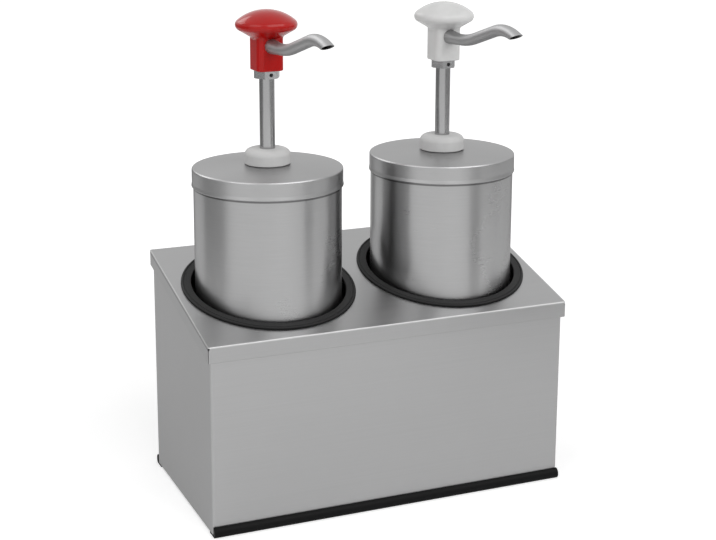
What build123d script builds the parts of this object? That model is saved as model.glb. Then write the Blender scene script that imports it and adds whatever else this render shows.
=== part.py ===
from build123d import *
import math
import os

# All lengths in millimetres. X runs along the front, Y towards the back, Z up.
# The origin is the centre of the footprint on the table top.

# Sheet metal
SHEET = 1.0
THIN = 0.8
BEND_R = 2.2
CORNER_R = 3.0

# Housing
END_MARGIN = 13.5
SIDE_MARGIN = 16.5
COVER_FRONT_Z = 191.5
COVER_RISE = 45.3
SKIRT = 16.0
COVER_GAP = 1.5
BODY_Z = 2.0
TRAY_H = 12.0
TRAY_CORNER_R = 1.3
SEAM = 0.6
SKIRT_EDGE_R = 0.4
RELIEF_R = 1.1
RELIEF_DROP = 1.7
RELIEF_REACH = 9.0

# Foot strips
STRIP_H = 10.0
STRIP_EDGE_T = 0.8
STRIP_BULGE = 5.0
STRIP_BULGE_Z = 3.8
STRIP_TOE_T = 2.8
STRIP_LIP = 11.0

# Containers and their lids
VESSEL_R = 73.2
VESSEL_CORNER = 8.0
LID_TOP_Z = 336.0
LID_SKIRT = 18.0
LID_GAP = 0.5
LID_EDGE_R = 1.8
LID_CROWN = 3.0
LID_PAD_R = 24.0
FLARE = 0.6
FLARE_H = 4.0
LID_BEAD_R = 0.9
RIM_R = 0.5
REST_GAP = 0.05

# Trim rings round the cut-outs
RING_GAP = 14.8
TRIM_GAP = 4.4
TRIM_W = 10.0
TRIM_T = 2.4
TRIM_ROUND = 1.4
TRIM_SOFT = 0.5
TRIM_BEAD = 2.4
TRIM_GROOVE = 0.8
TRIM_FLOOR = 1.7
TRIM_BITE = 3.9
TRIM_GRIP = 2.5
TRIM_UNDER = 1.8

# Pump: fixed parts that hang from the lid
TUBE_R = 7.5
TUBE_WALL = 1.5
RUN_GAP = 0.06
BORE_R = 12.5
BARREL_WALL = 3.0
NECK_WALL = 2.0
FLANGE_R = 21.0
FLANGE_T = 3.0
GASKET_R = 20.5
GASKET_T = 0.5
COLLAR_R = 22.75
COLLAR_H = 15.0
COLLAR_TOP = 4.0
COLLAR_EDGE_R = 6.5
COLLAR_FOOT = 1.0
FOOT_CLEAR = 4.2
FOOT_SLOT_H = 4.0
FOOT_H = 36.0
FOOT_SOCKET = 10.0
FOOT_INTAKE = 3.0
FOOT_THROAT = 2.0
FOOT_BEVEL = 1.5
INLET_BALL_R = 5.0
BALL_LIFT = 3.0
SEAT_SLOPE = math.radians(45.0)
INLET_HOLE_R = 2.75
FOOT_WALL = 2.5
FOOT_SLOT_W = 6.0
INLET_CHAMBER_GAP = 1.8
VENT_R = 1.5
VENT_DROP = 8.0
SEAT_T = 1.0
SEAT_HOLE_R = 2.5
SEAT_SLOT_L = 15.0
SEAT_SLOT_W = 3.0

# Pump: moving parts
STROKE = 60.0
SPRING_WIRE = 1.6
SPRING_R = 10.4
SPRING_SPARE = 3.4
SPRING_TURNS = 10.0
PISTON_H = 22.0
PISTON_BOSS_H = 14.0
PISTON_BOSS_R = 10.0
SEAL_H = 5.0
SEAL_DEPTH = 2.0
SEAL_LIP_W = 0.6
SEAL_LIP_H = 2.0
OUTLET_BALL_R = 4.0
OUTLET_HOLE_R = 2.4
OUTLET_CHAMBER_GAP = 1.4
OUTLET_SEAT_H = 3.0
PISTON_GAP = 0.3
GROOVE_H = 5.5
PIN_R = 0.8
PIN_RECESS = 0.5

# Head
HEAD_SPARE = 9.5
HEAD_W = 27.4
HEAD_CORNER = 6.0
HEAD_BLEND_R = 3.0
HEAD_H = 58.8
DOME_R = 44.0
KNOB_CUT_R = 33.8
KNOB_EDGE_R = 5.8
CONE_SLOPE = 0.59
NUT_AF = 23.2
NUT_H = 7.5
NUT_BEVEL = 0.9
NUT_BEVEL_SLOPE = 1.8
SCREW_R = 1.9
SCREW_L = 2.4
SCREW_HEX_R = 1.0
SCREW_SOLID = 0.9
BODY_EDGE_R = 1.2
HEAD_WEB = 1.0
CONE_ROOT_R = 8.0

# Spout
SPOUT_UP = 24.6
SPOUT_R = 5.7
SPOUT_WALL = 0.9
SPOUT_ROOT_R = 7.2
SPOUT_START = 7.0
SPOUT_COLLAR = 1.0
SPOUT_ROOT_END = 33.0
RISE_R = 115.0
RISE_ANGLE = 17.0
RISE_RUN = 39.0
DROP_R = 64.0
DROP_ANGLE = 35.2
TIP_RUN = 1.1
TIP_CUT = 68.8
TIP_SPARE = 14.0
TURN_LEFT = 2.3
TURN_RIGHT = 1.5

# Sizes that follow from the ones above
TRIM_IN_R = VESSEL_R + TRIM_GAP
TRIM_OUT_R = TRIM_IN_R + TRIM_W
HOLE_R = TRIM_IN_R + TRIM_BITE
SPACING = 2.0 * TRIM_OUT_R + RING_GAP
COVER_W = SPACING + 2.0 * (HOLE_R + END_MARGIN)
COVER_D = 2.0 * (HOLE_R + SIDE_MARGIN)
TILT = math.atan2(COVER_RISE, COVER_D)
COVER_DROP = SHEET / math.cos(TILT)
BODY_W = COVER_W - 2.0 * (SHEET + COVER_GAP)
BODY_D = COVER_D - 2.0 * (SHEET + COVER_GAP)
VESSEL_Z = BODY_Z + SHEET + REST_GAP
LID_R = VESSEL_R + LID_GAP + THIN
CROWN_R = ((LID_R - LID_PAD_R) ** 2 + LID_CROWN ** 2) / (2.0 * LID_CROWN)
PAD_Z = LID_TOP_Z + LID_CROWN
PAD_UNDER_Z = PAD_Z - THIN
CROWN_Z = PAD_Z - CROWN_R
LID_UNDER_Z = CROWN_Z + math.sqrt((CROWN_R - THIN) ** 2 - (VESSEL_R - LID_PAD_R) ** 2)
VESSEL_TOP_Z = LID_UNDER_Z - REST_GAP
BARREL_R = BORE_R + BARREL_WALL
NECK_R = BORE_R + NECK_WALL
COLLAR_Z = PAD_Z + GASKET_T
NECK_TOP_Z = COLLAR_Z + COLLAR_H - COLLAR_TOP
FOOT_Z = VESSEL_Z + THIN + FOOT_CLEAR
FOOT_TOP_Z = FOOT_Z + FOOT_H
BARREL_Z = FOOT_TOP_Z - FOOT_SOCKET
SEAT_TOP_Z = BARREL_Z + SEAT_T
SPRING_REST = STROKE + (SPRING_TURNS + 1.0) * SPRING_WIRE + SPRING_SPARE
PISTON_Z = SEAT_TOP_Z + SPRING_REST
PISTON_R = BORE_R - PISTON_GAP
GROOVE_Z = PISTON_Z + GROOVE_H
PISTON_TOP_Z = PISTON_Z + PISTON_H + PISTON_BOSS_H
TUBE_Z = PISTON_Z + PISTON_H + RUN_GAP
TUBE_IN_R = TUBE_R - TUBE_WALL
NUT_Z = COLLAR_Z + COLLAR_H + STROKE + HEAD_SPARE
HEAD_Z = NUT_Z + NUT_H
HEAD_TOP_Z = HEAD_Z + HEAD_H
SPOUT_Z = HEAD_Z + SPOUT_UP
TUBE_TOP_Z = SPOUT_Z - SPOUT_ROOT_R - HEAD_WEB
INLET_REST = (INLET_BALL_R * math.sin(SEAT_SLOPE) - INLET_HOLE_R) * math.tan(SEAT_SLOPE)
INLET_REST += INLET_BALL_R * math.cos(SEAT_SLOPE)
OUTLET_REST = (OUTLET_BALL_R * math.sin(SEAT_SLOPE) - OUTLET_HOLE_R) * math.tan(SEAT_SLOPE)
OUTLET_REST += OUTLET_BALL_R * math.cos(SEAT_SLOPE)
INLET_SEAT_Z = BARREL_Z - BALL_LIFT - INLET_BALL_R - INLET_REST
INLET_BALL_Z = INLET_SEAT_Z + INLET_REST + REST_GAP
OUTLET_SEAT_Z = PISTON_Z + OUTLET_SEAT_H
OUTLET_BALL_Z = OUTLET_SEAT_Z + OUTLET_REST + REST_GAP
PIN_Z = OUTLET_BALL_Z + OUTLET_BALL_R + BALL_LIFT + PIN_R


def surface_z(y):
    """Height of the cover's outer surface at depth y."""
    return COVER_FRONT_Z + (y + COVER_D / 2.0) * math.tan(TILT)


def slope_plane(x):
    """Plane on the sloping top, centred on the container at x."""
    return Plane(
        origin=(x, 0.0, surface_z(0.0)),
        x_dir=(1.0, 0.0, 0.0),
        z_dir=(0.0, -math.sin(TILT), math.cos(TILT)),
    )


def slope_block(half_w, half_d, drop, depth):
    """Block under the sloping top, drop below it, with its lower face parallel to the slope."""
    front = surface_z(-half_d) - drop
    back = surface_z(half_d) - drop
    outline = Polyline(
        (-half_d, front - depth), (-half_d, front), (half_d, back), (half_d, back - depth), close=True
    )
    return extrude(Plane.YZ * make_face(outline), amount=half_w, both=True)


def ring_profile(points):
    """Solid of revolution about Z from (radius, height) points."""
    outline = Polyline(*[(r, 0.0, z) for r, z in points], close=True)
    return revolve(make_face(outline), Axis.Z)


def top_edges(block):
    """The four edges round the uppermost face of a sloping block."""
    return block.faces().sort_by(Axis.Z)[-1].edges()


def bottom_edges(block):
    """The four edges round the lowest face of a sloping block."""
    return block.faces().sort_by(Axis.Z)[0].edges()


# Housing

def top_cover():
    """Folded lid of the housing: sloping top, four skirts with open corners, two round cut-outs."""
    half_w = COVER_W / 2.0
    half_d = COVER_D / 2.0
    outer = slope_block(half_w, half_d, 0.0, SKIRT)
    outer = fillet(top_edges(outer), BEND_R)
    outer = fillet(bottom_edges(outer), SKIRT_EDGE_R)
    inner = slope_block(half_w - SHEET, half_d - SHEET, COVER_DROP, 2.0 * SKIRT)
    inner = fillet(top_edges(inner), BEND_R - SHEET)
    cover = outer - inner
    for x in (-SPACING / 2.0, SPACING / 2.0):
        cover -= slope_plane(x) * Cylinder(HOLE_R, 2.0 * SKIRT)
    for sx in (-1.0, 1.0):
        for sy in (-1.0, 1.0):
            angle = math.degrees(math.atan2(sy, sx))
            top = surface_z(sy * half_d) - RELIEF_DROP
            corner = Pos(sx * half_w, sy * half_d, top)
            cover -= corner * Rot(0, 0, angle) * Rot(0, 90, 0) * Cylinder(RELIEF_R, RELIEF_REACH)
            cover -= corner * Rot(0, 0, angle) * Pos(0, 0, -SKIRT / 2.0) * Box(RELIEF_REACH, SEAM, SKIRT)
    return cover


def housing_body():
    """Wrapped sheet body: four panels with bent corners, open above and below, cut to the slope."""
    height = surface_z(COVER_D / 2.0)
    outer = extrude(RectangleRounded(BODY_W, BODY_D, CORNER_R), amount=height)
    inner = extrude(
        RectangleRounded(BODY_W - 2.0 * SHEET, BODY_D - 2.0 * SHEET, CORNER_R - SHEET), amount=height
    )
    walls = Pos(0, 0, BODY_Z) * (outer - inner)
    under = slope_block(COVER_W, COVER_D / 2.0, COVER_DROP, 2.0 * height)
    return walls & under


def base_plate():
    """Shallow folded tray inside the body, on which the containers stand."""
    wide = BODY_W - 2.0 * SHEET
    deep = BODY_D - 2.0 * SHEET
    outer = extrude(RectangleRounded(wide, deep, CORNER_R - SHEET), amount=TRAY_H)
    inner = extrude(
        RectangleRounded(wide - 2.0 * SHEET, deep - 2.0 * SHEET, TRAY_CORNER_R), amount=TRAY_H
    )
    return Pos(0, 0, BODY_Z) * (outer - Pos(0, 0, SHEET) * inner)


def foot_strip(side):
    """Black strip along the lower edge: a bulging face in front and a lip that the body stands on."""
    wall = BODY_D / 2.0
    face = ThreePointArc(
        (-wall - STRIP_EDGE_T, STRIP_H), (-wall - STRIP_BULGE, STRIP_BULGE_Z), (-wall - STRIP_TOE_T, 0.0)
    )
    rest = Polyline(
        (-wall - STRIP_TOE_T, 0.0),
        (-wall + STRIP_LIP, 0.0),
        (-wall + STRIP_LIP, BODY_Z),
        (-wall, BODY_Z),
        (-wall, STRIP_H),
        (-wall - STRIP_EDGE_T, STRIP_H),
    )
    strip = extrude(Plane.YZ * make_face([face, rest]), amount=BODY_W / 2.0, both=True)
    if side > 0:
        strip = Rot(0, 0, 180) * strip
    return strip


def trim_ring(x):
    """Rubber edge trim: a broad band with an outer bead, and a flange that grips the sheet."""
    bead = TRIM_OUT_R - TRIM_BEAD
    band = bead - TRIM_GROOVE
    under = -SHEET - TRIM_UNDER
    points = [
        (TRIM_OUT_R, 0.0),
        (TRIM_OUT_R, TRIM_T - TRIM_ROUND),
        (TRIM_OUT_R - 0.3 * TRIM_ROUND, TRIM_T - 0.3 * TRIM_ROUND),
        (TRIM_OUT_R - TRIM_ROUND, TRIM_T),
        (bead + TRIM_SOFT, TRIM_T),
        (bead, TRIM_T - TRIM_SOFT),
        (bead, TRIM_FLOOR),
        (band, TRIM_FLOOR),
        (band, TRIM_T - TRIM_SOFT),
        (band - TRIM_SOFT, TRIM_T),
        (TRIM_IN_R + TRIM_SOFT, TRIM_T),
        (TRIM_IN_R, TRIM_T - TRIM_SOFT),
        (TRIM_IN_R, under),
        (HOLE_R + TRIM_GRIP, under),
        (HOLE_R + TRIM_GRIP, -SHEET),
        (HOLE_R, -SHEET),
        (HOLE_R, 0.0),
    ]
    return slope_plane(x) * ring_profile(points)


# Containers and lids

def circle_at(shape, height):
    """The round edge of a turned shape at one height."""
    return shape.edges().sort_by(lambda edge: abs(edge.center().Z - height))[0]


def container():
    """Straight-sided drawn pot with a rounded bottom corner."""
    outer = Pos(0, 0, VESSEL_Z) * extrude(Circle(VESSEL_R), amount=VESSEL_TOP_Z - VESSEL_Z)
    outer = fillet(outer.edges().sort_by(Axis.Z)[0], VESSEL_CORNER)
    outer = fillet(outer.edges().sort_by(Axis.Z)[-1], RIM_R)
    inner = Pos(0, 0, VESSEL_Z + THIN) * extrude(Circle(VESSEL_R - THIN), amount=VESSEL_TOP_Z)
    inner = fillet(inner.edges().sort_by(Axis.Z)[0], VESSEL_CORNER - THIN)
    return outer - inner


def lid_section(edge_r, sheet, flare):
    """Disc with the lid's crown: its top lies the distance sheet inside the outer surface."""
    radius = CROWN_R - sheet
    top = CROWN_Z + radius
    wide = edge_r - LID_PAD_R
    mid = 0.5 * wide
    edge_z = CROWN_Z + math.sqrt(radius ** 2 - wide ** 2)
    mid_z = CROWN_Z + math.sqrt(radius ** 2 - mid ** 2)
    bottom = LID_TOP_Z - LID_SKIRT
    crown = ThreePointArc((LID_PAD_R, 0, top), (LID_PAD_R + mid, 0, mid_z), (edge_r, 0, edge_z))
    rest = Polyline(
        (edge_r, 0, edge_z),
        (edge_r, 0, bottom + FLARE_H),
        (edge_r + flare, 0, bottom),
        (0, 0, bottom),
        (0, 0, top),
        (LID_PAD_R, 0, top),
    )
    return revolve(make_face([crown, rest]), Axis.Z), edge_z


def lid():
    """Push-on lid: flat pad under the pump, gentle crown, rounded edge and a skirt ending in a bead."""
    outer, outer_z = lid_section(LID_R, 0.0, FLARE)
    inner, inner_z = lid_section(LID_R - THIN, THIN, 0.0)
    outer = fillet(circle_at(outer, outer_z), LID_EDGE_R)
    outer = fillet(circle_at(outer, LID_TOP_Z - LID_SKIRT), LID_BEAD_R)
    inner = fillet(circle_at(inner, inner_z), LID_EDGE_R - THIN)
    return outer - inner - Pos(0, 0, PAD_Z) * Cylinder(NECK_R, 4.0 * LID_CROWN)


def lid_gasket():
    """Rubber washer between the lid and the collar."""
    ring = extrude(Circle(GASKET_R) - Circle(NECK_R), amount=GASKET_T)
    return Pos(0, 0, PAD_Z) * ring


def collar():
    """Round nut on the barrel's neck, which clamps the lid and guides the plunger tube."""
    body = Pos(0, 0, COLLAR_Z) * extrude(Circle(COLLAR_R), amount=COLLAR_H)
    body = fillet(body.edges().sort_by(Axis.Z)[-1], COLLAR_EDGE_R)
    body = fillet(body.edges().sort_by(Axis.Z)[0], COLLAR_FOOT)
    body -= Pos(0, 0, COLLAR_Z) * extrude(Circle(NECK_R), amount=COLLAR_H - COLLAR_TOP)
    return body - Pos(0, 0, COLLAR_Z) * extrude(Circle(TUBE_R + RUN_GAP), amount=COLLAR_H)


def pump_barrel():
    """Long barrel under the lid, with a flange, a neck through the lid and a vent hole."""
    barrel = ring_profile(
        [
            (BORE_R, BARREL_Z),
            (BARREL_R, BARREL_Z),
            (BARREL_R, PAD_UNDER_Z - FLANGE_T),
            (FLANGE_R, PAD_UNDER_Z - FLANGE_T),
            (FLANGE_R, PAD_UNDER_Z),
            (NECK_R, PAD_UNDER_Z),
            (NECK_R, NECK_TOP_Z),
            (BORE_R, NECK_TOP_Z),
        ]
    )
    drill = Rot(90, 0, 0) * Cylinder(VENT_R, 4.0 * BARREL_WALL)
    return barrel - Pos(0, BARREL_R, PAD_UNDER_Z - FLANGE_T - VENT_DROP) * drill


def foot_valve():
    """Screwed-on foot of the barrel: socket, ball chamber with a conical seat, slotted end."""
    outer_r = BARREL_R + FOOT_WALL
    chamber_r = INLET_BALL_R + INLET_CHAMBER_GAP
    cone_h = (chamber_r - INLET_HOLE_R) * math.tan(SEAT_SLOPE)
    body = ring_profile(
        [
            (INLET_HOLE_R, FOOT_Z + FOOT_SLOT_H + FOOT_THROAT),
            (INLET_HOLE_R + FOOT_INTAKE, FOOT_Z),
            (outer_r - FOOT_BEVEL, FOOT_Z),
            (outer_r, FOOT_Z + FOOT_BEVEL),
            (outer_r, FOOT_TOP_Z - FOOT_BEVEL),
            (outer_r - FOOT_BEVEL, FOOT_TOP_Z),
            (BARREL_R, FOOT_TOP_Z),
            (BARREL_R, BARREL_Z),
            (chamber_r, BARREL_Z),
            (chamber_r, INLET_SEAT_Z + cone_h),
            (INLET_HOLE_R, INLET_SEAT_Z),
        ]
    )
    slot = Pos(0, 0, FOOT_Z + FOOT_SLOT_H / 2.0) * Box(4.0 * BARREL_R, FOOT_SLOT_W, FOOT_SLOT_H)
    return body - slot - Rot(0, 0, 90) * slot


def inlet_ball():
    """Steel ball on the seat of the foot valve."""
    return Pos(0, 0, INLET_BALL_Z) * Sphere(INLET_BALL_R)


def spring_seat():
    """Slotted washer in the bottom of the barrel, under the spring and over the ball."""
    washer = extrude(Circle(BORE_R) - Circle(SEAT_HOLE_R), amount=SEAT_T)
    for angle in (0.0, 60.0, 120.0):
        washer -= Rot(0, 0, angle) * extrude(SlotOverall(SEAT_SLOT_L, SEAT_SLOT_W), amount=SEAT_T)
    return Pos(0, 0, BARREL_Z) * washer


def return_spring():
    """Compression spring between the slotted washer and the piston."""
    height = SPRING_REST - SPRING_WIRE
    path = Helix(pitch=height / SPRING_TURNS, height=height, radius=SPRING_R)
    start = path @ 0
    section = Plane(origin=start, z_dir=path % 0) * RegularPolygon(SPRING_WIRE / 2.0, 6)
    coil = sweep(section, path=path, is_frenet=True)
    return Pos(0, 0, SEAT_TOP_Z + SPRING_WIRE / 2.0) * coil


# Moving parts of the pump

def piston():
    """Piston with a seal groove, an outlet seat for the ball and a boss for the plunger tube."""
    chamber_r = OUTLET_BALL_R + OUTLET_CHAMBER_GAP
    cone_h = (chamber_r - OUTLET_HOLE_R) * math.tan(SEAT_SLOPE)
    shoulder = PISTON_Z + PISTON_H
    body = ring_profile(
        [
            (OUTLET_HOLE_R, PISTON_Z),
            (PISTON_R, PISTON_Z),
            (PISTON_R, GROOVE_Z),
            (PISTON_R - SEAL_DEPTH, GROOVE_Z),
            (PISTON_R - SEAL_DEPTH, GROOVE_Z + SEAL_H),
            (PISTON_R, GROOVE_Z + SEAL_H),
            (PISTON_R, shoulder),
            (PISTON_BOSS_R, shoulder),
            (PISTON_BOSS_R, PISTON_TOP_Z),
            (TUBE_R + RUN_GAP, PISTON_TOP_Z),
            (TUBE_R + RUN_GAP, shoulder),
            (chamber_r, shoulder),
            (chamber_r, OUTLET_SEAT_Z + cone_h),
            (OUTLET_HOLE_R, OUTLET_SEAT_Z),
        ]
    )
    return body - Pos(0, 0, PIN_Z) * Rot(0, 90, 0) * Cylinder(PIN_R, 2.0 * BORE_R)


def piston_seal():
    """Rubber cup seal in the piston's groove, with a lip towards the chamber."""
    inner_r = PISTON_R - SEAL_DEPTH
    outer_r = BORE_R - RUN_GAP
    return ring_profile(
        [
            (inner_r, GROOVE_Z),
            (inner_r + SEAL_LIP_W, GROOVE_Z),
            (inner_r + 0.5 * SEAL_DEPTH, GROOVE_Z + SEAL_LIP_H),
            (outer_r - SEAL_LIP_W, GROOVE_Z),
            (outer_r, GROOVE_Z + SEAL_LIP_W),
            (outer_r, GROOVE_Z + SEAL_H - SEAL_LIP_W),
            (outer_r - SEAL_LIP_W, GROOVE_Z + SEAL_H),
            (inner_r, GROOVE_Z + SEAL_H),
        ]
    )


def outlet_ball():
    """Steel ball on the seat inside the piston."""
    return Pos(0, 0, OUTLET_BALL_Z) * Sphere(OUTLET_BALL_R)


def ball_stop_pin():
    """Cross pin that keeps the outlet ball in the piston."""
    return Pos(0, 0, PIN_Z) * Rot(0, 90, 0) * Cylinder(PIN_R, 2.0 * (PISTON_R - PIN_RECESS))


def plunger_tube():
    """Straight tube from the piston up into the head."""
    tube = extrude(Circle(TUBE_R) - Circle(TUBE_IN_R), amount=TUBE_TOP_Z - TUBE_Z)
    return Pos(0, 0, TUBE_Z) * tube


def head_nut(turn):
    """Hexagon nut under the head, with a radial hole for its set screw."""
    radius = NUT_AF / math.sqrt(3.0)
    prism = extrude(RegularPolygon(radius, 6, rotation=0), amount=NUT_H)
    bevel_r = radius - NUT_BEVEL
    spread = bevel_r + NUT_BEVEL_SLOPE * NUT_H
    prism = prism & ring_profile([(0.0, 0.0), (bevel_r, 0.0), (spread, NUT_H), (0.0, NUT_H)])
    prism -= extrude(Circle(TUBE_R), amount=NUT_H)
    hole = Pos(0, -NUT_AF / 2.0, NUT_H / 2.0) * Rot(90, 0, 0) * Cylinder(SCREW_R, NUT_AF - TUBE_R)
    return Rot(0, 0, turn) * Pos(0, 0, NUT_Z) * (prism - hole)


def nut_set_screw(turn):
    """Small socket set screw, sunk in the nut's hole and bearing on the tube."""
    screw = extrude(Circle(SCREW_R), amount=SCREW_L)
    screw -= Pos(0, 0, SCREW_SOLID) * extrude(RegularPolygon(SCREW_HEX_R, 6), amount=SCREW_L)
    return Rot(0, 0, turn) * Pos(0, -TUBE_R, NUT_Z + NUT_H / 2.0) * Rot(90, 0, 0) * screw


def knob_seam(head):
    """The curved edges where the knob's cone meets the faces and corners of the body."""
    curved = (GeomType.HYPERBOLA, GeomType.BSPLINE)
    return [edge for edge in head.edges() if edge.geom_type in curved and edge.center().Z > SPOUT_Z]


def pump_head(turn):
    """Moulded head: mushroom knob running by a cone into a soft-edged square body."""
    dome_z = HEAD_TOP_Z - DOME_R
    edge_z = dome_z + math.sqrt(DOME_R ** 2 - KNOB_CUT_R ** 2)
    root_z = edge_z - CONE_SLOPE * (KNOB_CUT_R - CONE_ROOT_R)
    lean = math.sqrt(1.0 + CONE_SLOPE ** 2)
    # Centre of the rim's rounding: inside the dome and above the cone by the same radius
    lift = edge_z - dome_z - CONE_SLOPE * KNOB_CUT_R + KNOB_EDGE_R * lean
    reach = DOME_R - KNOB_EDGE_R
    root = math.sqrt((CONE_SLOPE * lift) ** 2 - lean ** 2 * (lift ** 2 - reach ** 2))
    rim_r = (root - CONE_SLOPE * lift) / lean ** 2
    rim_z = dome_z + CONE_SLOPE * rim_r + lift
    top_r = rim_r * DOME_R / reach
    top_z = dome_z + (rim_z - dome_z) * DOME_R / reach
    low_r = rim_r + KNOB_EDGE_R * CONE_SLOPE / lean
    low_z = rim_z - KNOB_EDGE_R / lean
    mid_r = 0.5 * top_r
    mid_z = dome_z + math.sqrt(DOME_R ** 2 - mid_r ** 2)
    dome = ThreePointArc((0, 0, HEAD_TOP_Z), (mid_r, 0, mid_z), (top_r, 0, top_z))
    rim = ThreePointArc((top_r, 0, top_z), (rim_r + KNOB_EDGE_R, 0, rim_z), (low_r, 0, low_z))
    rest = Polyline((low_r, 0, low_z), (CONE_ROOT_R, 0, root_z), (0, 0, root_z), (0, 0, HEAD_TOP_Z))
    knob = revolve(make_face([dome, rim, rest]), Axis.Z)
    top = root_z + CONE_SLOPE * (0.75 * HEAD_W - CONE_ROOT_R)
    block = Pos(0, 0, HEAD_Z) * extrude(RectangleRounded(HEAD_W, HEAD_W, HEAD_CORNER), amount=top - HEAD_Z)
    block = fillet(block.edges().group_by(Axis.Z)[0], BODY_EDGE_R)
    head = knob + block
    head = fillet(knob_seam(head), HEAD_BLEND_R)
    head -= Pos(0, 0, HEAD_Z) * extrude(Circle(TUBE_R), amount=TUBE_TOP_Z - HEAD_Z)
    head -= Pos(0, 0, TUBE_TOP_Z) * extrude(Circle(TUBE_IN_R), amount=SPOUT_Z + TUBE_IN_R - TUBE_TOP_Z)
    forward = Pos(0, 0, SPOUT_Z) * Rot(90, 0, 0)
    head -= forward * extrude(Circle(SPOUT_R - SPOUT_WALL), amount=HEAD_W)
    head -= forward * Pos(0, 0, SPOUT_START) * extrude(Circle(SPOUT_ROOT_R), amount=HEAD_W)
    return Rot(0, 0, turn) * head


def spout_path(start):
    """Centre line of the spout in the plane x = 0, from the distance start in front of the axis."""
    rise = math.radians(RISE_ANGLE)
    drop = math.radians(DROP_ANGLE)
    a = (SPOUT_ROOT_END, SPOUT_Z)
    b = (a[0] + RISE_R * math.sin(rise), a[1] + RISE_R * (1.0 - math.cos(rise)))
    half = 0.5 * rise
    ab = (a[0] + RISE_R * math.sin(half), a[1] + RISE_R * (1.0 - math.cos(half)))
    c = (b[0] + RISE_RUN * math.cos(rise), b[1] + RISE_RUN * math.sin(rise))
    centre = (c[0] + DROP_R * math.sin(rise), c[1] - DROP_R * math.cos(rise))
    m = rise - 0.5 * drop
    e = rise - drop
    cd = (centre[0] - DROP_R * math.sin(m), centre[1] + DROP_R * math.cos(m))
    d = (centre[0] - DROP_R * math.sin(e), centre[1] + DROP_R * math.cos(e))
    tip = (d[0] + TIP_RUN * math.cos(e), d[1] + TIP_RUN * math.sin(e))
    end = (tip[0] + TIP_SPARE * math.cos(e), tip[1] + TIP_SPARE * math.sin(e))

    def at(p):
        return (0.0, -p[0], p[1])

    pieces = []
    if start < SPOUT_ROOT_END:
        pieces.append(Line(at((start, SPOUT_Z)), at(a)))
    pieces.append(ThreePointArc(at(a), at(ab), at(b)))
    pieces.append(Line(at(b), at(c)))
    pieces.append(ThreePointArc(at(c), at(cd), at(d)))
    pieces.append(Line(at(d), at(end)))
    return Wire(pieces), at(tip)


def spout(turn):
    """Swan-necked tube: swollen root in the head, long rise, drop to a tip cut nearly level."""
    outer_path, tip = spout_path(SPOUT_ROOT_END)
    bore_path, tip = spout_path(SPOUT_START)
    begin = Plane(origin=outer_path @ 0, z_dir=(0, -1, 0))
    tube = sweep(begin * Circle(SPOUT_R), path=outer_path)
    root = ring_profile(
        [
            (0.0, SPOUT_START),
            (SPOUT_ROOT_R, SPOUT_START),
            (SPOUT_ROOT_R, HEAD_W / 2.0 + SPOUT_COLLAR),
            (SPOUT_R, SPOUT_ROOT_END),
            (0.0, SPOUT_ROOT_END),
        ]
    )
    tube += Pos(0, 0, SPOUT_Z) * Rot(90, 0, 0) * root
    inlet = Plane(origin=bore_path @ 0, z_dir=(0, -1, 0))
    tube -= sweep(inlet * Circle(SPOUT_R - SPOUT_WALL), path=bore_path)
    cut = math.radians(TIP_CUT)
    beyond = Plane(origin=tip, x_dir=(1, 0, 0), z_dir=(0, -math.cos(cut), -math.sin(cut)))
    tube -= beyond * extrude(Circle(2.0 * TIP_SPARE), amount=2.0 * TIP_SPARE)
    return Rot(0, 0, turn) * tube


def save(shape, name, colour):
    """Write one named piece."""
    shape.label = name
    shape.color = Color(*colour)
    export_step(shape, os.path.join("parts", name + ".step"))


STEEL = (0.72, 0.73, 0.74)
RUBBER = (0.05, 0.05, 0.05)
WHITE = (0.93, 0.93, 0.92)
RED = (0.75, 0.02, 0.02)
CLEAR = (0.85, 0.87, 0.88)


def build():
    """Make every piece in its place and write it to parts."""
    os.makedirs("parts", exist_ok=True)
    save(housing_body(), "housing_body", STEEL)
    save(top_cover(), "top_cover", STEEL)
    save(base_plate(), "base_plate", STEEL)
    save(foot_strip(-1), "front_foot_strip", RUBBER)
    save(foot_strip(1), "rear_foot_strip", RUBBER)
    shared = {
        "container": (container(), STEEL),
        "lid": (lid(), STEEL),
        "lid_gasket": (lid_gasket(), RUBBER),
        "collar": (collar(), WHITE),
        "pump_barrel": (pump_barrel(), CLEAR),
        "foot_valve": (foot_valve(), WHITE),
        "inlet_ball": (inlet_ball(), STEEL),
        "spring_seat": (spring_seat(), STEEL),
        "return_spring": (return_spring(), STEEL),
        "piston": (piston(), WHITE),
        "piston_seal": (piston_seal(), RUBBER),
        "outlet_ball": (outlet_ball(), STEEL),
        "ball_stop_pin": (ball_stop_pin(), STEEL),
        "plunger_tube": (plunger_tube(), STEEL),
    }
    sides = (("left", -SPACING / 2.0, TURN_LEFT, RED), ("right", SPACING / 2.0, TURN_RIGHT, WHITE))
    for side, x, turn, colour in sides:
        save(trim_ring(x), "trim_ring_" + side, RUBBER)
        for name, (shape, tone) in shared.items():
            save(Pos(x, 0, 0) * shape, name + "_" + side, tone)
        save(Pos(x, 0, 0) * head_nut(turn), "head_nut_" + side, STEEL)
        save(Pos(x, 0, 0) * nut_set_screw(turn), "nut_set_screw_" + side, STEEL)
        save(Pos(x, 0, 0) * pump_head(turn), "pump_head_" + side, colour)
        save(Pos(x, 0, 0) * spout(turn), "spout_" + side, STEEL)


build()
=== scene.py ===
import math

import bpy
from mathutils import Matrix, Vector


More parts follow.
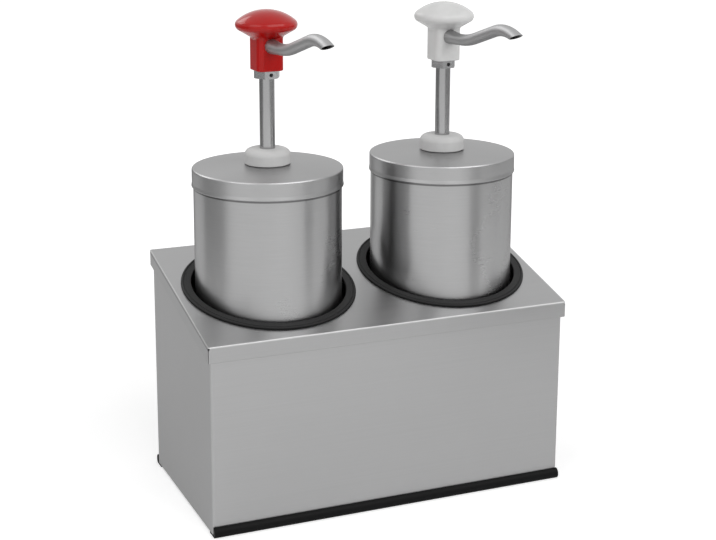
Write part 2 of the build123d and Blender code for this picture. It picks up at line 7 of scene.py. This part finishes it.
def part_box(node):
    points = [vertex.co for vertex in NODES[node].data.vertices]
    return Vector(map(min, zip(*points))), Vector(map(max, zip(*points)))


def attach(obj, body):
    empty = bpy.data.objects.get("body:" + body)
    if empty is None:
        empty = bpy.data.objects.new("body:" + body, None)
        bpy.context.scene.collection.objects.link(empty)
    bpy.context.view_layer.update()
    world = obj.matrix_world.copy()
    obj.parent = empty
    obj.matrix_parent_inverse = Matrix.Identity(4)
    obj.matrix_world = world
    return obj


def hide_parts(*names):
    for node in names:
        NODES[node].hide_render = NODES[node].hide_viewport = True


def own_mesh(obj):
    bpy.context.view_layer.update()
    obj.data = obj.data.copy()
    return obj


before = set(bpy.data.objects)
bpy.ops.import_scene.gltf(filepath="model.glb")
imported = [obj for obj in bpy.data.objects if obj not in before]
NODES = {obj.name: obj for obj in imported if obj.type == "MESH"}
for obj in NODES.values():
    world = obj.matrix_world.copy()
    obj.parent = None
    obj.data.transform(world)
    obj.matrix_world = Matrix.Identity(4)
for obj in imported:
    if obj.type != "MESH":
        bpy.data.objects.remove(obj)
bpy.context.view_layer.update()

# Lengths in metres, in the row frame: X right along the front, Y back, Z up.

SIDES = ("left", "right")
AXIS_X = {side: sum(v.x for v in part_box("container_" + side)) / 2 for side in SIDES}

# Camera, as the photograph was taken: angles in radians, lens and sensor in millimetres
CAM_AZIMUTH = 0.40206
CAM_PITCH = 0.23672
CAM_ROLL = 0.00452
CAM_DISTANCE = 1.56876
CAM_TARGET = Vector((0.00165, 0.0, 0.2952))
CAM_LENS = 77.90
CAM_SENSOR = 36.0
CAM_SHIFT_Y = -0.1006

# Light: the level of the white surroundings on dull surfaces, and the lamps in watts
WORLD_DIFFUSE = 0.40
KEY_POWER = 21.0
LEFT_POWER = 8.0
BACK_POWER = 10.0
LAMP_AIM = (0.0, 0.0, 0.25)

# Floor: its glow near the object and far from it, as the camera and as metal see it
FLOOR_SIZE = 14.0
FLOOR_COLOR = (0.9, 0.9, 0.9)
FLOOR_ROUGHNESS = 0.9
GLOW_SEEN = (0.38, 0.7)
GLOW_MIRRORED = (0.16, 0.40)
GLOW_START = 0.4
GLOW_SEEN_END = 1.7
GLOW_MIRRORED_END = 3.2

# Height of the cover's front bend
COVER_FRONT_Z = 0.1915

# How far the painted shade lines are below the cover's side bends and below the lids
BEND_SHADE_DROP = 0.0024
LID_SHADE_DROP = 0.0011

# Return springs: wire thickness, turns, steps to a turn and points round the wire
SPRING_WIRE = 0.0016
SPRING_TURNS = 10
SPRING_STEPS = 32
SPRING_POINTS = 8

# Linear colours
WHITE_LIGHT = (1.0, 1.0, 1.0)
SHEET_STEEL = (0.415, 0.415, 0.417)
STEEL = (0.40, 0.40, 0.402)
POLISHED = (0.40, 0.40, 0.403)
NUT_STEEL = (0.52, 0.52, 0.525)
DARK_STEEL = (0.05, 0.05, 0.052)
METAL_EDGE = (0.7, 0.7, 0.7, 1.0)
RUBBER = (0.007, 0.007, 0.0072)
TRIM_RUBBER = (0.030, 0.030, 0.0303)
SEAL_RUBBER = (0.03, 0.03, 0.03)
WHITE = (0.66, 0.66, 0.655)
DULL_WHITE = (0.57, 0.57, 0.567)
RED = (0.43, 0.004, 0.003)
NATURAL = (0.66, 0.68, 0.68)
FLAG_COLOR = (0.02, 0.02, 0.02)

# Brushed metal: noise scales across and along the brush marks and of the handling marks,
# and how the spun pots and lids stretch what they mirror
BRUSH_FINE = 1100.0
BRUSH_LONG = 5.0
BRUSH_ROUND = 2.0
SPOUT_FINE = 700.0
SPOUT_LONG = 25.0
SHEET_SMUDGES = 9.0
POT_SMUDGES = 11.0
PUMP_SMUDGES = 30.0
SMUDGE_ROUGHNESS = 0.02
BRUSH_DEPTH = 0.0002
SPUN = {"Anisotropic": 0.5, "Anisotropic_Rotation": 0.25}

# Moulded surfaces: noise scale and depth of the skin, and the mottling under it
RUBBER_SKIN = (2400.0, 0.00006)
PLASTIC_SKIN = (1500.0, 0.00004)
GLOSS_SKIN = (900.0, 0.00003)
SKIN_STRENGTH = 0.12
MOTTLES = 55.0
MOTTLE_SHADE = 0.04
MOTTLE_ROUGHNESS = 0.03

# Noise seldom leaves this range
NOISE_RANGE = (0.3, 0.7)

# Sockets of a Mix node that is set to colours
MIX_SHARE = 0
MIX_A = 6
MIX_B = 7
MIX_RESULT = 2

# Keeps a division by the distance to an axis from failing
LEAST_RADIUS = 1e-5


# Shader helpers

def new_material(name, color, roughness, metallic=0.0, **fixed):
    """A material with one Principled shader; fixed holds values set on its own sockets."""
    mat = bpy.data.materials.new(name)
    mat.use_nodes = True
    tree = mat.node_tree
    shader = tree.nodes["Principled BSDF"]
    shader.inputs["Base Color"].default_value = (*color, 1.0)
    shader.inputs["Roughness"].default_value = roughness
    shader.inputs["Metallic"].default_value = metallic
    for label, value in fixed.items():
        shader.inputs[label.replace("_", " ")].default_value = value
    return mat, tree, shader


def math_node(tree, operation, a, b=None):
    """The result of one Math node; a and b are sockets or numbers."""
    n = tree.nodes.new("ShaderNodeMath")
    n.operation = operation
    for i, value in enumerate((a, b)):
        if value is None:
            continue
        if isinstance(value, (int, float)):
            n.inputs[i].default_value = value
        else:
            tree.links.new(value, n.inputs[i])
    return n.outputs[0]


def vector_node(tree, operation, a, b=None):
    """The outputs of one Vector Math node; a is a socket, b three numbers."""
    n = tree.nodes.new("ShaderNodeVectorMath")
    n.operation = operation
    tree.links.new(a, n.inputs[0])
    if b is not None:
        n.inputs[1].default_value = b
    return n.outputs


def map_range(tree, value, source, target, curve="LINEAR"):
    """The value moved from the source range to the target range, and held at its ends."""
    n = tree.nodes.new("ShaderNodeMapRange")
    n.interpolation_type = curve
    for label, number in zip(("From Min", "From Max", "To Min", "To Max"), (*source, *target)):
        n.inputs[label].default_value = number
    tree.links.new(value, n.inputs["Value"])
    return n.outputs[0]


def fade_out(tree, distance, breadth, most):
    """As much as most within a quarter of the breadth, falling softly to nothing at half of it."""
    return map_range(tree, distance, (breadth / 4, breadth / 2), (most, 0.0), "SMOOTHSTEP")


def mix_colors(tree, share, a, b):
    """A colour between a and b, each a socket or a tuple."""
    n = tree.nodes.new("ShaderNodeMix")
    n.data_type = "RGBA"
    tree.links.new(share, n.inputs[MIX_SHARE])
    for i, color in ((MIX_A, a), (MIX_B, b)):
        if isinstance(color, tuple):
            n.inputs[i].default_value = (*color, 1.0)
        else:
            tree.links.new(color, n.inputs[i])
    return n.outputs[MIX_RESULT]


def object_point(tree, centre=(0.0, 0.0, 0.0)):
    """Object coordinates, counted from centre."""
    coord = tree.nodes.new("ShaderNodeTexCoord")
    return vector_node(tree, "SUBTRACT", coord.outputs["Object"], centre)["Vector"]


def split(tree, point):
    """The x, y and z of a point."""
    part = tree.nodes.new("ShaderNodeSeparateXYZ")
    tree.links.new(point, part.inputs[0])
    return part.outputs


def noise(tree, point, scale, detail, rough):
    """Noise from 0 to 1 at a point, with a scale for each axis."""
    n = tree.nodes.new("ShaderNodeTexNoise")
    n.inputs["Scale"].default_value = 1.0
    n.inputs["Detail"].default_value = detail
    n.inputs["Roughness"].default_value = rough
    tree.links.new(vector_node(tree, "MULTIPLY", point, scale)["Vector"], n.inputs["Vector"])
    return n.outputs[0]


def round_point(tree, centre):
    """A point that turns with the bearing round an upright axis and climbs with radius and height."""
    x, y, z = split(tree, object_point(tree, centre))
    squares = math_node(tree, "ADD", math_node(tree, "MULTIPLY", x, x), math_node(tree, "MULTIPLY", y, y))
    radius = math_node(tree, "MAXIMUM", math_node(tree, "SQRT", squares), LEAST_RADIUS)
    joined = tree.nodes.new("ShaderNodeCombineXYZ")
    tree.links.new(math_node(tree, "DIVIDE", x, radius), joined.inputs[0])
    tree.links.new(math_node(tree, "DIVIDE", y, radius), joined.inputs[1])
    tree.links.new(math_node(tree, "ADD", radius, z), joined.inputs[2])
    return joined.outputs[0]


def sheet_grain(tree):
    """The point and noise scale of a sheet brushed level."""
    return object_point(tree), (BRUSH_LONG, BRUSH_LONG, BRUSH_FINE)


def spout_grain(tree):
    """The point and noise scale of a spout brushed from back to front."""
    return object_point(tree), (SPOUT_FINE, SPOUT_LONG, SPOUT_FINE)


def round_grain(x):
    """The point and noise scale of a piece brushed round its upright axis at x."""
    def grain(tree):
        return round_point(tree, (x, 0.0, 0.0)), (BRUSH_ROUND, BRUSH_ROUND, BRUSH_FINE)
    return grain


def shade(tree, shader, value, color, depth):
    """Base colour a little darker or lighter than color, by a value."""
    dark = tuple(c * (1.0 - depth) for c in color)
    light = tuple(min(1.0, c * (1.0 + depth)) for c in color)
    tree.links.new(mix_colors(tree, map_range(tree, value, NOISE_RANGE, (0.0, 1.0)), dark, light),
                   shader.inputs["Base Color"])


def bump(tree, shader, height, strength, distance):
    """Fine relief from a height value."""
    n = tree.nodes.new("ShaderNodeBump")
    n.inputs["Strength"].default_value = strength
    n.inputs["Distance"].default_value = distance
    tree.links.new(height, n.inputs["Height"])
    tree.links.new(n.outputs[0], shader.inputs["Normal"])


def brushed(name, color, grain, smudges, roughness, streak=0.025, relief=0.02, uneven=0.03, **fixed):
    """Satin metal: fine streaks in colour, roughness and relief, and broad faint handling marks."""
    mat, tree, shader = new_material(name, color, roughness, metallic=1.0,
                                     Specular_Tint=METAL_EDGE, **fixed)
    fine = noise(tree, *grain(tree), detail=4.0, rough=0.7)
    broad = noise(tree, object_point(tree), (smudges,) * 3, detail=3.0, rough=0.5)
    shade(tree, shader, fine, color, streak)
    streaks = map_range(tree, fine, NOISE_RANGE, (roughness - uneven, roughness + uneven))
    marks = map_range(tree, broad, NOISE_RANGE, (-SMUDGE_ROUGHNESS, SMUDGE_ROUGHNESS))
    tree.links.new(math_node(tree, "ADD", streaks, marks), shader.inputs["Roughness"])
    bump(tree, shader, fine, relief, BRUSH_DEPTH)
    if "Anisotropic" in fixed:
        tangent = tree.nodes.new("ShaderNodeTangent")
        tangent.direction_type = "RADIAL"
        tangent.axis = "Z"
        tree.links.new(tangent.outputs[0], shader.inputs["Tangent"])
    return mat


def turned(name, color, smudges, **finish):
    """Metal brushed round the axis of each pump, one material for each side."""
    return {side: brushed(name + "_" + side, color, round_grain(AXIS_X[side]), smudges, **finish)
            for side in SIDES}


def moulded(name, color, skin, roughness, **fixed):
    """Moulded plastic or rubber: faint mottling, a fine surface texture and slightly uneven gloss."""
    mat, tree, shader = new_material(name, color, roughness, **fixed)
    grains, depth = skin
    fine = noise(tree, object_point(tree), (grains,) * 3, detail=2.0, rough=0.5)
    broad = noise(tree, object_point(tree), (MOTTLES,) * 3, detail=3.0, rough=0.55)
    shade(tree, shader, broad, color, MOTTLE_SHADE)
    gloss = (roughness - MOTTLE_ROUGHNESS, roughness + MOTTLE_ROUGHNESS)
    tree.links.new(map_range(tree, broad, NOISE_RANGE, gloss), shader.inputs["Roughness"])
    bump(tree, shader, fine, SKIN_STRENGTH, depth)
    return mat


def painted_line(mat, away, breadth, level, share):
    """Paint a soft line of light or shade into a material's colour, towards a grey level; away is the
    distance from its middle.
    """
    tree = mat.node_tree
    base = tree.nodes["Principled BSDF"].inputs["Base Color"]
    under = base.links[0].from_socket
    tree.links.new(mix_colors(tree, fade_out(tree, away, breadth, share), under, (level,) * 3), base)


def painted_ring_line(mat, height, breadth, level, share):
    """A thin line of painted light or shade round an upright piece at a height."""
    tree = mat.node_tree
    climb = split(tree, object_point(tree, (0.0, 0.0, height)))["Z"]
    painted_line(mat, math_node(tree, "ABSOLUTE", climb), breadth, level, share)


def painted_bend_line(mat, bend, drop, breadth, level, share):
    """A thin line of painted light or shade along a straight bend of a sheet, dropped below it where drop
    isn't 0.
    """
    start, end = (corner - Vector((0.0, 0.0, drop)) for corner in bend)
    tree = mat.node_tree
    cross = vector_node(tree, "CROSS_PRODUCT", object_point(tree, start), (end - start).normalized())
    painted_line(mat, vector_node(tree, "LENGTH", cross["Vector"])["Value"], breadth, level, share)


def painted_plane_line(mat, front, rear, breadth, level, share):
    """Paint light or shade into a piece where it is close to, or under, a plane that climbs from front to
    rear.
    """
    tree = mat.node_tree
    rise = rear - front
    upright = Vector((0.0, -rise.z, rise.y)).normalized()
    height = vector_node(tree, "DOT_PRODUCT", object_point(tree, front), upright)["Value"]
    painted_line(mat, height, breadth, level, share)


# Steel

sheet_steel = brushed("sheet_steel", SHEET_STEEL, sheet_grain, SHEET_SMUDGES, roughness=0.36)
cover_steel = brushed("cover_steel", STEEL, sheet_grain, SHEET_SMUDGES, roughness=0.36)
pot_steel = turned("pot_steel", STEEL, POT_SMUDGES,
                   roughness=0.28, streak=0.03, relief=0.0006, uneven=0.004, **SPUN)
lid_steel = turned("lid_steel", STEEL, POT_SMUDGES,
                   roughness=0.36, streak=0.02, relief=0.003, uneven=0.015, **SPUN)
dark_steel = turned("dark_steel", DARK_STEEL, PUMP_SMUDGES, roughness=0.4)
nut_steel = turned("nut_steel", NUT_STEEL, PUMP_SMUDGES, roughness=0.25, streak=0.02)
pump_steel = turned("pump_steel", POLISHED, PUMP_SMUDGES, roughness=0.16, streak=0.02)
spout_steel = brushed("spout_steel", POLISHED, spout_grain, PUMP_SMUDGES, roughness=0.48, streak=0.02)


# Rubber and plastic

strip_rubber = moulded("strip_rubber", RUBBER, RUBBER_SKIN, roughness=0.5, Specular_IOR_Level=0.08)
trim_rubber = moulded("trim_rubber", TRIM_RUBBER, RUBBER_SKIN, roughness=0.5, Specular_IOR_Level=0.08)
seal_rubber = moulded("seal_rubber", SEAL_RUBBER, RUBBER_SKIN, roughness=0.55)
white_plastic = moulded("white_plastic", DULL_WHITE, PLASTIC_SKIN, roughness=0.6, Specular_IOR_Level=0.3)
natural_plastic = moulded("natural_plastic", NATURAL, PLASTIC_SKIN, roughness=0.4)
white_gloss = moulded("white_gloss", WHITE, GLOSS_SKIN, roughness=0.24, Specular_IOR_Level=0.3)
red_gloss = moulded("red_gloss", RED, GLOSS_SKIN, roughness=0.15, Specular_IOR_Level=0.3)


# Painted highlights along the cover's bends, and painted shade below its side bends, under the lids and at
# the foot of the trim rings

cover_low, cover_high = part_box("top_cover")
front_left = Vector((cover_low.x, cover_low.y, COVER_FRONT_Z))
front_right = Vector((cover_high.x, cover_low.y, COVER_FRONT_Z))
rear_right = Vector((cover_high.x, cover_high.y, cover_high.z))
rear_left = Vector((cover_low.x, cover_high.y, cover_high.z))
for bend in ((front_right, rear_right), (rear_left, front_left)):
    # Painted shade: a dark line just below each side bend
    painted_bend_line(cover_steel, bend, BEND_SHADE_DROP, breadth=0.0026, level=0.1, share=0.55)
    # Painted highlight along each side bend
    painted_bend_line(cover_steel, bend, 0.0, breadth=0.0022, level=0.6, share=0.8)
for bend in ((front_left, front_right), (rear_right, rear_left)):
    # Painted highlight along the front and rear bends
    painted_bend_line(cover_steel, bend, 0.0, breadth=0.0032, level=0.65, share=0.85)
for side in SIDES:
    lid_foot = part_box("lid_" + side)[0].z
    # Painted shade: a dark line round each pot just under its lid's skirt
    painted_ring_line(pot_steel[side], lid_foot - LID_SHADE_DROP, breadth=0.0024, level=0.01, share=0.62)
# Painted shade: the trim rings darkened where they are close to the cover's plane
painted_plane_line(trim_rubber, front_left, rear_left, breadth=0.0044, level=0.003, share=0.8)


# CAD nodes

def dress(node, mat):
    """Give a CAD node its material."""
    mesh = NODES[node].data
    mesh.materials.clear()
    mesh.materials.append(mat)


dress("top_cover", cover_steel)
for name in ("housing_body", "base_plate"):
    dress(name, sheet_steel)
for name in ("front_foot_strip", "rear_foot_strip"):
    dress(name, strip_rubber)
for side in SIDES:
    dress("trim_ring_" + side, trim_rubber)
    dress("container_" + side, pot_steel[side])
    dress("lid_" + side, lid_steel[side])
    dress("nut_set_screw_" + side, dark_steel[side])
    dress("head_nut_" + side, nut_steel[side])
    for name in ("plunger_tube_", "inlet_ball_", "outlet_ball_",
                 "ball_stop_pin_", "spring_seat_", "return_spring_"):
        dress(name + side, pump_steel[side])
    dress("spout_" + side, spout_steel)
    for name in ("lid_gasket_", "piston_seal_"):
        dress(name + side, seal_rubber)
    for name in ("collar_", "foot_valve_", "piston_"):
        dress(name + side, white_plastic)
    dress("pump_barrel_" + side, natural_plastic)
dress("pump_head_left", red_gloss)
dress("pump_head_right", white_gloss)


# Return springs

def coil_mesh(name, low, high):
    """An upright coil that fills the box from low to high."""
    radius = (high.x - low.x - SPRING_WIRE) / 2
    climb = high.z - low.z - SPRING_WIRE
    foot = Vector(((low.x + high.x) / 2, (low.y + high.y) / 2, low.z + SPRING_WIRE / 2))
    steps = SPRING_TURNS * SPRING_STEPS
    verts = []
    for i in range(steps + 1):
        angle = math.tau * i / SPRING_STEPS
        out = Vector((math.cos(angle), math.sin(angle), 0.0))
        middle = foot + out * radius + Vector((0, 0, climb * i / steps))
        for k in range(SPRING_POINTS):
            turn = math.tau * k / SPRING_POINTS
            rim = out * math.cos(turn) + Vector((0, 0, math.sin(turn)))
            verts.append(middle + rim * SPRING_WIRE / 2)
    first_end = list(range(SPRING_POINTS))
    last_end = list(range(len(verts) - SPRING_POINTS, len(verts)))
    faces = [first_end, last_end[::-1]]
    for i in range(steps):
        a = i * SPRING_POINTS
        for k in range(SPRING_POINTS):
            b = (k + 1) % SPRING_POINTS
            faces.append([a + k, a + k + SPRING_POINTS, a + b + SPRING_POINTS, a + b])
    mesh = bpy.data.meshes.new(name)
    mesh.from_pydata(verts, [], faces)
    mesh.polygons.foreach_set("use_smooth", [True] * len(faces))
    return mesh


def coil_spring(side):
    """A coil return spring that goes with its pump, in place of the stiff CAD one."""
    low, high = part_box("return_spring_" + side)
    mesh = coil_mesh("coil_spring_" + side, low, high)
    mesh.materials.append(pump_steel[side])
    piece = bpy.data.objects.new("coil_spring_" + side, mesh)
    bpy.context.scene.collection.objects.link(piece)
    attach(piece, "pump_" + side)
    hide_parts("return_spring_" + side)
    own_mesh(piece)


for side in SIDES:
    coil_spring(side)


# Stage

def plane(name, size_x, size_y, matrix, mat):
    """A rectangle centred on matrix, which isn't part of the object."""
    x, y = size_x / 2, size_y / 2
    mesh = bpy.data.meshes.new(name)
    mesh.from_pydata([(-x, -y, 0), (x, -y, 0), (x, y, 0), (-x, y, 0)], [], [(0, 1, 2, 3)])
    mesh.materials.append(mat)
    obj = bpy.data.objects.new(name, mesh)
    obj.matrix_world = matrix
    bpy.context.scene.collection.objects.link(obj)
    return obj


def floor_material():
    """Pale floor that keeps shadows; where it is seen or mirrored it glows, and so runs into the white."""
    mat, tree, shader = new_material("floor", FLOOR_COLOR, FLOOR_ROUGHNESS)
    path = tree.nodes.new("ShaderNodeLightPath")
    away = vector_node(tree, "LENGTH", object_point(tree))["Value"]
    parts = []
    for ray, levels, end in (("Is Camera Ray", GLOW_SEEN, GLOW_SEEN_END),
                             ("Is Glossy Ray", GLOW_MIRRORED, GLOW_MIRRORED_END)):
        glow = map_range(tree, away, (GLOW_START, end), levels, "SMOOTHSTEP")
        parts.append(math_node(tree, "MULTIPLY", path.outputs[ray], glow))
    tree.links.new(math_node(tree, "ADD", *parts), shader.inputs["Emission Strength"])
    shader.inputs["Emission Color"].default_value = (*WHITE_LIGHT, 1.0)
    return mat


def flag_material(name, width, height, depth):
    """Dark card that fades out towards its edges; depth is how much it hides in the middle."""
    mat = bpy.data.materials.new(name)
    mat.use_nodes = True
    tree = mat.node_tree
    tree.nodes.remove(tree.nodes["Principled BSDF"])
    x, y, _ = split(tree, object_point(tree))
    fades = [fade_out(tree, math_node(tree, "ABSOLUTE", along), size, most)
             for along, size, most in ((x, width, depth), (y, height, 1.0))]
    clear = tree.nodes.new("ShaderNodeBsdfTransparent")
    dark = tree.nodes.new("ShaderNodeBsdfDiffuse")
    dark.inputs["Color"].default_value = (*FLAG_COLOR, 1.0)
    mix = tree.nodes.new("ShaderNodeMixShader")
    tree.links.new(math_node(tree, "MULTIPLY", *fades), mix.inputs[0])
    tree.links.new(clear.outputs[0], mix.inputs[1])
    tree.links.new(dark.outputs[0], mix.inputs[2])
    tree.links.new(mix.outputs[0], tree.nodes["Material Output"].inputs["Surface"])
    return mat


def flag(name, bearing, width, depth, distance, low, high):
    """Soft dark card that only reflections show, for the metal's bands; bearing 0 is in front."""
    a = math.radians(bearing)
    out = Vector((math.sin(a), -math.cos(a), 0.0))
    turn = (-out).to_track_quat("Z", "Y").to_matrix().to_4x4()
    place = Matrix.Translation(out * distance + Vector((0, 0, (low + high) / 2)))
    card = plane(name, width, high - low, place @ turn, flag_material(name, width, high - low, depth))
    card.visible_camera = False
    card.visible_diffuse = False
    card.visible_shadow = False


plane("floor", FLOOR_SIZE, FLOOR_SIZE, Matrix.Identity(4), floor_material())
flag("flag_pot_left", bearing=-106.0, width=0.85, depth=0.56, distance=0.8, low=-0.02, high=0.26)
flag("flag_pot_right", bearing=35.0, width=0.22, depth=0.5, distance=0.6, low=0.02, high=0.27)
flag("flag_pot_far_right", bearing=55.0, width=1.0, depth=0.12, distance=0.85, low=-0.02, high=0.26)
flag("flag_pot_behind", bearing=-172.0, width=0.34, depth=0.6, distance=0.79, low=-0.02, high=0.26)
flag("flag_pot_beyond", bearing=132.0, width=0.6, depth=0.4, distance=0.9, low=-0.02, high=0.26)
flag("flag_rod_left", bearing=-130.0, width=2.6, depth=0.68, distance=0.8, low=0.14, high=0.58)
flag("flag_rod_right", bearing=60.0, width=2.6, depth=0.52, distance=0.8, low=0.14, high=0.58)


# Light

def area_light(name, place, size, power):
    """Soft rectangular lamp, turned towards the middle of the object."""
    lamp = bpy.data.lights.new(name, "AREA")
    lamp.shape = "RECTANGLE"
    lamp.size, lamp.size_y = size
    lamp.energy = power
    obj = bpy.data.objects.new(name, lamp)
    obj.location = place
    obj.rotation_mode = "QUATERNION"
    obj.rotation_quaternion = (Vector(LAMP_AIM) - Vector(place)).to_track_quat("-Z", "Y")
    bpy.context.scene.collection.objects.link(obj)


def studio_world():
    """White where the camera, metal or glass sees it, and a softer white light on dull surfaces."""
    world = bpy.data.worlds.new("studio")
    world.use_nodes = True
    tree = world.node_tree
    soft = tree.nodes["Background"]
    bright = tree.nodes.new("ShaderNodeBackground")
    for background, strength in ((soft, WORLD_DIFFUSE), (bright, 1.0)):
        background.inputs["Color"].default_value = (*WHITE_LIGHT, 1.0)
        background.inputs["Strength"].default_value = strength
    path = tree.nodes.new("ShaderNodeLightPath")
    seen = math_node(tree, "MAXIMUM", path.outputs["Is Camera Ray"], path.outputs["Is Glossy Ray"])
    seen = math_node(tree, "MAXIMUM", seen, path.outputs["Is Transmission Ray"])
    mix = tree.nodes.new("ShaderNodeMixShader")
    tree.links.new(seen, mix.inputs[0])
    tree.links.new(soft.outputs[0], mix.inputs[1])
    tree.links.new(bright.outputs[0], mix.inputs[2])
    tree.links.new(mix.outputs[0], tree.nodes["World Output"].inputs["Surface"])
    return world


area_light("key", place=(0.5, -1.4, 1.6), size=(2.2, 1.3), power=KEY_POWER)
area_light("left", place=(-1.5, -0.72, 1.45), size=(1.4, 1.2), power=LEFT_POWER)
area_light("back", place=(-1.0, 1.7, 1.6), size=(1.6, 1.0), power=BACK_POWER)
bpy.context.scene.world = studio_world()


# Camera

def photo_camera():
    """The photograph's camera, which stands to the left of the front and looks down a little."""
    ahead = Vector((math.sin(CAM_AZIMUTH) * math.cos(CAM_PITCH),
                    math.cos(CAM_AZIMUTH) * math.cos(CAM_PITCH),
                    -math.sin(CAM_PITCH)))
    level = Vector((math.cos(CAM_AZIMUTH), -math.sin(CAM_AZIMUTH), 0.0))
    upward = level.cross(ahead)
    right = level * math.cos(CAM_ROLL) + upward * math.sin(CAM_ROLL)
    top = upward * math.cos(CAM_ROLL) - level * math.sin(CAM_ROLL)
    camera = bpy.data.objects.new("camera", bpy.data.cameras.new("camera"))
    camera.data.lens = CAM_LENS
    camera.data.sensor_width = CAM_SENSOR
    camera.data.shift_y = CAM_SHIFT_Y
    turn = Matrix((right, top, -ahead)).transposed().to_4x4()
    camera.matrix_world = Matrix.Translation(CAM_TARGET - ahead * CAM_DISTANCE) @ turn
    bpy.context.scene.collection.objects.link(camera)
    return camera


bpy.context.scene.camera = photo_camera()
bpy.context.scene.view_settings.view_transform = "Standard"
